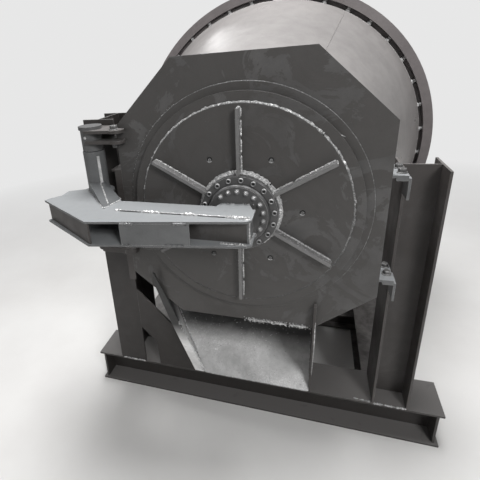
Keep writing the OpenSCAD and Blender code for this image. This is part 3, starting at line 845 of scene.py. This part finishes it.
def sleeve_bar():
    """Upright flat bar on the front of the sleeve, in pale steel as a painted highlight."""
    out = level(-42)
    across = Vector((-out.y, out.x, 0))
    foot = spot(HINGE, 0, 76) + out * SLEEVE
    section = ((-0.0062, -0.0012), (0.0062, -0.0012), (0.0054, 0.0046), (-0.0054, 0.0046))
    verts = [foot + across * w + out * d + UP * z for z in (0.0, 0.132) for w, d in section]
    faces = [(3, 2, 1, 0), (4, 5, 6, 7), (0, 1, 5, 4), (1, 2, 6, 5), (2, 3, 7, 6), (3, 0, 4, 7)]
    piece("sleeve_bar", verts, faces, "stud_steel", "arm", smooth=False)


def grease_nipple():
    """The nipple between the two upper lugs, on the fixed post."""
    out = level(-96)
    foot = surface("hinge_post", spot(HINGE, 0, 286) + out * 0.2, -out) - out * OVERLAP
    parts = Parts()
    parts.turn([0, (0.0062, 0), (0.0062, 0.0015), (0.0042, 0.0025), (0.0040, 0.0040), (0.0046, 0.0050),
                (0.0040, 0.0065), (0.0020, 0.0072), 0.0072], 16, facing(foot, out))
    parts.done("grease_nipple", "bare_bead", "frame")


def cap_seam():
    """Black line in the seam under the cap of the hinge pin, as painted shade."""
    parts = Parts()
    bead(parts, round_hinge(44.2, 315.6), 0.0014, step=0.006, closed=True, sides=6)
    parts.done("cap_seam", "painted_shade_black", "frame")


# Pieces on the frame and the chute


def seat_ring_weld():
    """The thin weld round the seat ring."""
    parts = Parts()
    bead(parts, circle(0.4708, PLATE - 0.0006, 300), 0.0016, step=0.008, wobble=0.3, closed=True, sides=6)
    parts.done("seat_ring_weld", "dull_bead", "frame")


def seat_spatter():
    """Fine spatter along the left of the seat ring's weld."""
    parts = Parts()
    for _ in range(260):
        degrees = rng.uniform(122, 178)
        at = on_circle(rng.gauss(0.4705, 0.0022), PLATE - 0.0006, degrees)
        spatter(parts, at, rng.uniform(0.0009, 0.0022))
    parts.done("seat_spatter", "bare_bead", "frame")


def frame_welds():
    """Welds under the plate and along the beam's top, and at the brackets on the plate's edges."""
    parts = Parts()
    for x0, y0, x1, y1, z, radius in ((12, 2, 278, 2, -541, 0.0060),
                                      (-357, 89, -224, 86, BEAM_FACE + 1, 0.0040),
                                      (-702, 81.5, -568, 81.5, BEAM_FACE + 1, 0.0042),
                                      (568, 81.5, 708, 81.5, BEAM_FACE + 1, 0.0042),
                                      (560, 86, 486, 92, BEAM_FACE + 1, 0.0030)):
        weld_run(parts, spot(x0, y0, z), spot(x1, y1, z), 3, radius, lead=0.01, share=0.93, wobble=0.4)
    spatter_field(parts, 160, (-700, -566), (74, 82), BEAM_FACE, (0.001, 0.0030))
    for x in (-512, 512):
        for z in (150, 10, -262):
            bead(parts, [spot(x, 13.5, z), spot(x, 13.5, z - 18)], 0.003)
        bead(parts, [spot(x, 13.5, -340), spot(x, 13.5, -352)], 0.003)
    parts.done("frame_welds", "bare_bead", "frame")


def chute_welds():
    """Beads along the joints of the floor with both walls and with the beam."""
    back = Vector((0, floor_high.y - 0.006, floor_high.z - 0.004))
    parts = Parts()
    weld_run(parts, spot(-228, 80, -969), back + Vector((floor_low.x + 0.012, 0, 0)), 9, 0.0038, lead=0.006,
             share=0.95, wobble=0.4)
    weld_run(parts, spot(287, 84, -967), back + Vector((0.287, 0, 0)), 8, 0.0032, lead=0.006, share=0.9,
             wobble=0.4)
    bead(parts, [spot(-226, 79, BEAM_FACE + 1), spot(284, 79, BEAM_FACE + 1)], 0.0026, wobble=0.3)
    parts.done("chute_welds", "bare_bead", "frame")


def bar_welds():
    """Bright bead up the bar of the left wall, and spatter there and under the plate."""
    top_of_bead = 0.42
    parts = Parts()
    low = spot(-231, 81, -968)
    high = spot(-364, -12, -470)
    for k in range(10):
        f = k / 10 * top_of_bead
        thinner = 0.0072 * (1 - 1.5 * f)
        bead(parts, [low.lerp(high, f + 0.003), low.lerp(high, f + 0.040)], thinner, wobble=0.35)
    for _ in range(420):
        at = low.lerp(high, rng.random() ** 1.7 * 0.70)
        at += Vector((rng.uniform(-0.006, 0.006), rng.uniform(-0.003, 0.006), 0))
        spatter(parts, at, rng.uniform(0.001, 0.003))
    spatter_field(parts, 220, (0, 282), (-5, 0.5), (-552, -528), (0.001, 0.0028))
    parts.done("bar_welds", "bright_bead", "frame")


def chute_grit():
    """Crushed grains left on the chute floor, most of them near its lower edge."""
    rise = 0.75
    sheet = 8
    lower_edge = 80
    reach = 300
    parts = Parts()
    for _ in range(420):
        depth = rng.random() ** 1.6
        y = lower_edge + 12 + depth * reach
        x = rng.uniform(-180 - reach * depth, 270)
        z = BEAM_FACE + (y - lower_edge) * rise + sheet * math.hypot(1, rise)
        size = rng.uniform(0.0012, 0.0032)
        place = Matrix.Translation(spot(x, y, z) + UP * size * 0.3) @ any_turn("Z")
        long = rng.uniform(0.7, 1.3)
        wide = rng.uniform(0.7, 1.3)
        shape = Matrix.Diagonal((size * long, size * wide, size * 0.8, 1.0))
        parts.add(*OCTAHEDRON, place @ shape)
    parts.done("chute_grit", "bare_bead", "frame")


def wall_edge_highlight():
    """Bright worn corner up the front edge of the chute's right wall, also a painted highlight."""
    parts = Parts()
    edge = [spot(296.6, y, z) for y, z in ((80, -872), (79.6, -860), (-44.4, -606), (-44.4, -478))]
    bead(parts, edge, 0.0024, step=0.012, wobble=0.15)
    parts.done("wall_edge_highlight", "bare_bead", "frame")


def bracket_bolts():
    """Bolts on the brackets of the front plate's right side, and of both sides of the rear plate."""
    rear = (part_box("rear_end_plate")[1].y - PLATE) * 1000
    upper, lower = 136, -275
    places = [(546, 95, upper), (547, 35, upper), (545, 108, lower), (545, 50, lower)]
    places += [(x, y, z) for x in (-538, 538) for y in (rear - 95, rear - 35) for z in (upper, lower)]
    parts = Parts()
    for x, y, z in places:
        hex_head(parts, spot(x, y, z), UP, 0.024, 0.013, 0.02 * x + y)
    parts.done("bracket_bolts", "primed_bolt", "frame")


def lug_bolt():
    """The bolt through the two upper lugs: a head above and a nut below."""
    parts = Parts()
    hex_head(parts, spot(-506, -30, 316), UP, 0.026, 0.014, 0.4)
    hex_head(parts, spot(-506, -30, 262), -UP, 0.026, 0.014, 0.9)
    parts.done("lug_bolt", "primed_bolt", "frame")


# Pieces on the drum


def ring_studs():
    """Radial studs from the shell to the ring's rim at the ring's front and back, a nut at each end."""
    shell, rim = STUD_SPAN
    length = rim - shell
    radius = 0.006
    root = 0.001
    inset = 0.034
    parts = Parts()
    for k in range(2 * STUDS):
        y = ring_low.y + inset if k < STUDS else ring_high.y - inset
        out = outward(360 / STUDS * (k % STUDS + 0.5))
        foot = Vector((0, y, AXIS)) + out * shell
        parts.turn([-root, (radius, -root), (radius, length + root), length + root], 12, facing(foot, out))
        hex_head(parts, foot, out, 0.024, 0.013, 0.37 * k)
        hex_head(parts, foot + out * (length - OVERLAP), -out, 0.018, 0.009, 0.21 * k, washer=False)
    parts.done("ring_studs", "stud_steel", "drum")


def ring_web():
    """The thin web in the middle of the ring, behind its slots."""
    count = 180
    half = 0.003
    mid = ring_low.y + (ring_high.y - ring_low.y) / 2
    inner = BAND - 0.001
    outer = STUD_SPAN[1] + 0.001
    section = ((inner, mid - half), (outer, mid - half), (outer, mid + half), (inner, mid + half))
    verts = [p for radius, y in section for p in circle(radius, y, count)]
    faces = [(a * count + k, a * count + (k + 1) % count, b * count + (k + 1) % count, b * count + k)
             for a, b in ((0, 1), (1, 2), (2, 3), (3, 0)) for k in range(count)]
    piece("ring_web", verts, faces, "dark_paint", "drum")


def drum_seams():
    """The lengthwise seam of the front cone and the round seams at both ends of the middle band."""
    cone_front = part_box("drum_front_cone")[0].y
    neck = 0.420
    seam_angle = 62.4
    parts = Parts()
    seam = [on_circle(neck + (BAND - neck) * f, cone_front + (band_low.y - cone_front) * f, seam_angle)
            for f in (0.02, 0.5, 0.985)]
    bead(parts, seam, 0.0020, step=0.006)
    for y in (band_low.y, band_high.y):
        bead(parts, circle(BAND - 0.0006, y, 320), 0.0022, step=0.010, closed=True, sides=6)
    parts.done("drum_seams", "drum_paint", "drum")


def ring_turning_marks():
    """Fine round marks on the ring's rim."""
    parts = Parts()
    for share in (0.22, 0.40, 0.60, 0.78):
        y = ring_low.y + (ring_high.y - ring_low.y) * share
        mark = circle(ring_high.x - 0.0004, y, 320)
        bead(parts, mark, 0.0010, step=0.012, wobble=0.1, closed=True, sides=6)
    parts.done("ring_turning_marks", "frame_paint", "drum")


# The floor, the backdrop and the light


def floor():
    """Pale floor that turns into the backdrop far from the machine, for the camera only."""
    reach = 30.0
    mat, tree, shader = new_material("floor")
    where = node(tree, "ShaderNodeTexCoord").outputs["Object"]
    blotches = noise(tree, where, 1.3, detail=5.0)
    tone = ramp(tree, blotches, [(0.3, (0.60, 0.59, 0.58)), (0.7, (0.66, 0.655, 0.645))])
    tree.links.new(tone, shader.inputs["Base Color"])
    shader.inputs["Roughness"].default_value = 0.85
    spread = node(tree, "ShaderNodeVectorMath", {0: where}, operation="LENGTH").outputs["Value"]
    far = times(tree, mask(tree, times(tree, spread, 0.1), 0.20, 0.55),
                node(tree, "ShaderNodeLightPath").outputs["Is Camera Ray"])
    glow = node(tree, "ShaderNodeEmission", {"Color": PALE, "Strength": 1.0})
    both = node(tree, "ShaderNodeMixShader", {0: far, 1: shader.outputs[0], 2: glow.outputs[0]})
    tree.links.new(both.outputs[0], tree.nodes["Material Output"].inputs[0])
    mesh = bpy.data.meshes.new("floor")
    mesh.from_pydata([(-reach, -reach, 0), (reach, -reach, 0), (reach, reach, 0), (-reach, reach, 0)], [],
                     [(0, 1, 2, 3)])
    mesh.materials.append(mat)
    obj = bpy.data.objects.new("floor", mesh)
    scene.collection.objects.link(obj)


def backdrop():
    """Pale all round for the camera, and dimmer as a light on the machine."""
    ambient = 0.30
    world = bpy.data.worlds.new("world")
    scene.world = world
    world.use_nodes = True
    tree = world.node_tree
    back = tree.nodes["Background"]
    back.inputs["Color"].default_value = PALE
    seen = times(tree, node(tree, "ShaderNodeLightPath").outputs["Is Camera Ray"], 1.0 - ambient)
    tree.links.new(calc(tree, "ADD", seen, ambient), back.inputs["Strength"])


def lamps():
    """Soft square lamps, each as its name, place, size, power and aim."""
    for name, place, size, power, aim in (
            ("key", (2.2, -3.0, 3.4), 1.1, 112.0, (0, 0, 1.0)),
            ("fill", (-2.4, -3.6, 2.4), 2.6, 16.0, (0, 0, 0.9)),
            ("top", (-0.2, 0.3, 4.8), 1.8, 235.0, (0, 0.3, 1.2)),
            ("back", (-1.6, 6.2, 3.4), 3.0, 120.0, (0, 1.4, 1.0))):
        data = bpy.data.lights.new(name, "AREA")
        data.size = size
        data.energy = power
        lamp = bpy.data.objects.new(name, data)
        scene.collection.objects.link(lamp)
        lamp.location = place
        lamp.rotation_euler = (Vector(aim) - Vector(place)).to_track_quat("-Z", "Y").to_euler()


# The order keeps each piece's random marks as they are
for make in (hub_screws, bearing_cover_bolts, disc_plugs, rib_welds, cover_edge_weld, hub_foot_weld,
             cover_nick, seat_ring_weld, slot_shade, arm_welds, sleeve_welds, wedge_welds, sleeve_bar,
             grease_nipple, cap_seam, frame_welds, chute_welds, bar_welds, chute_grit, ring_studs,
             ring_web, drum_seams, ring_turning_marks, bracket_bolts, lug_bolt, plug_lip_highlights,
             cover_shoulder, seat_spatter, wall_edge_highlight):
    make()
camera()
floor()
backdrop()
lamps()
scene.view_settings.view_transform = "Standard"
